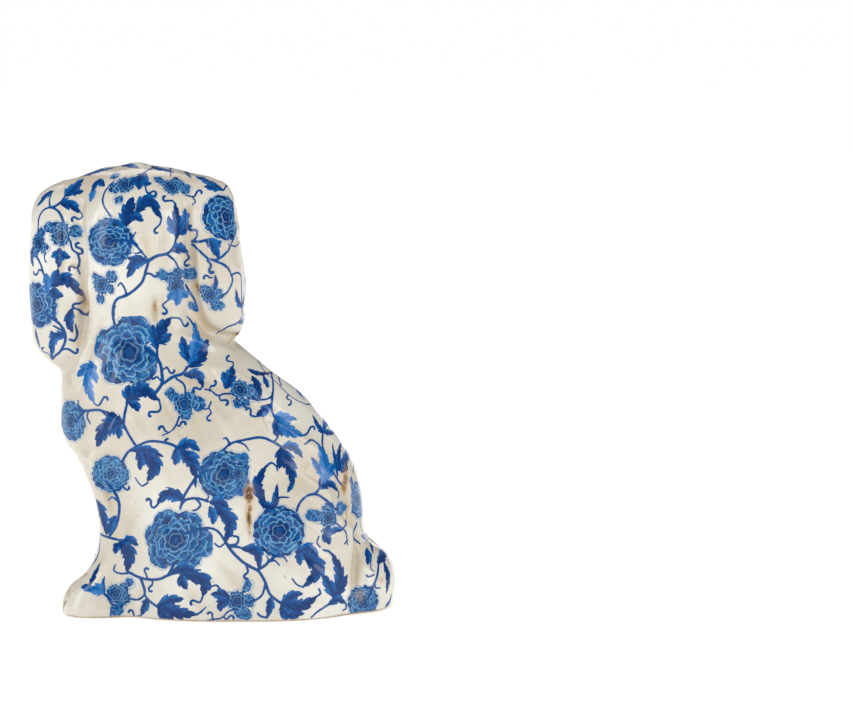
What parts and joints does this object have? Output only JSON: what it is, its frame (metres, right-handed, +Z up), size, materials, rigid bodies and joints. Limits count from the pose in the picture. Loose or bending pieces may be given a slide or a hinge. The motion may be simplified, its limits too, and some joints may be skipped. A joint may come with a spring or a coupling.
{
  "type": "seated ceramic spaniel figurine",
  "caption": "Seated long-eared spaniel mantelpiece figurine in hollow glazed earthenware, with a plain flat back, turned head and flat vented base, for display.",
  "frame": {"origin": "on the resting plane, under the middle of the whole figure", "axes": "+Z up; +X towards the chest and the forepaws, -X towards the tail; -Y towards the face and the decorated front, +Y towards the plain back"},
  "size_m": [0.2363, 0.1107, 0.29],
  "materials": {
    "glaze": "gloss",
    "blue_enamel": "gloss",
    "biscuit": "matte"
  },
  "bodies": {
    "root": {"body_back_shell": "glaze", "body_front_shell": "glaze", "head_back_shell": "glaze", "face_shell": "glaze", "left_ear": "glaze", "right_ear": "glaze", "left_foreleg": "glaze", "right_foreleg": "glaze", "right_hind_paw": "glaze", "tail": "glaze", "base_plate": "biscuit", "collar": "blue_enamel", "padlock": "blue_enamel"}
  },
  "joints": []
}
